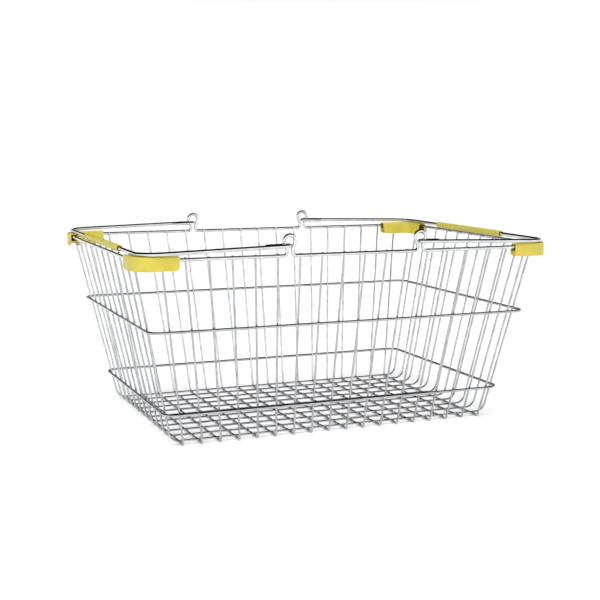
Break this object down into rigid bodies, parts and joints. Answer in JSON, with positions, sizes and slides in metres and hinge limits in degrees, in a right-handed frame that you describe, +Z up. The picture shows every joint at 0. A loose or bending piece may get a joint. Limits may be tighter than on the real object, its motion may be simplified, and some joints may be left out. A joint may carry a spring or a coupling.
{
  "type": "shopping basket",
  "caption": "Open-top welded wire shopping basket with tapered walls, two folding wire carry handles with soft grips, and a press-on guard over each corner of the rim.",
  "frame": {"origin": "on the floor under the middle of the basket, at the bottom centre of its bounding box", "axes": "+X along the basket's length, +Y across it towards the back long side, +Z up"},
  "size_m": [0.5056, 0.362, 0.2355],
  "materials": {
    "mesh_wire": "bright plated",
    "band_wire": "bright plated",
    "rim_wire": "bright plated",
    "handle_wire": "bright plated",
    "grip": "soft satin vinyl",
    "guard": "satin"
  },
  "bodies": {
    "basket": {"cross_wire_01": "mesh_wire", "cross_wire_02": "mesh_wire", "cross_wire_03": "mesh_wire", "cross_wire_04": "mesh_wire", "cross_wire_05": "mesh_wire", "cross_wire_06": "mesh_wire", "cross_wire_07": "mesh_wire", "cross_wire_08": "mesh_wire", "cross_wire_09": "mesh_wire", "cross_wire_10": "mesh_wire", "cross_wire_11": "mesh_wire", "cross_wire_12": "mesh_wire", "cross_wire_13": "mesh_wire", "cross_wire_14": "mesh_wire", "cross_wire_15": "mesh_wire", "cross_wire_16": "mesh_wire", "cross_wire_17": "mesh_wire", "cross_wire_18": "mesh_wire", "long_wire_01": "mesh_wire", "long_wire_02": "mesh_wire", "long_wire_03": "mesh_wire", "long_wire_04": "mesh_wire", "long_wire_05": "mesh_wire", "long_wire_06": "mesh_wire", "long_wire_07": "mesh_wire", "long_wire_08": "mesh_wire", "long_wire_09": "mesh_wire", "long_wire_10": "mesh_wire", "long_wire_11": "mesh_wire", "lower_band_wire": "band_wire", "upper_band_wire": "band_wire", "rim_wire": "rim_wire", "corner_guard_back_right": "guard", "corner_guard_back_left": "guard", "corner_guard_front_left": "guard", "corner_guard_front_right": "guard"},
    "left_handle": {"left_handle_wire": "handle_wire", "left_handle_grip": "grip"},
    "right_handle": {"right_handle_wire": "handle_wire", "right_handle_grip": "grip"}
  },
  "joints": [
    {"name": "left_handle_swing", "type": "hinge", "parent": "basket", "child": "left_handle", "pos_m": [-0.0793, 0, 0.22215], "axis": [0, 1, 0], "range_deg": [0, 118]},
    {"name": "right_handle_swing", "type": "hinge", "parent": "basket", "child": "right_handle", "pos_m": [0.0793, 0, 0.22215], "axis": [0, -1, 0], "range_deg": [0, 118]}
  ]
}
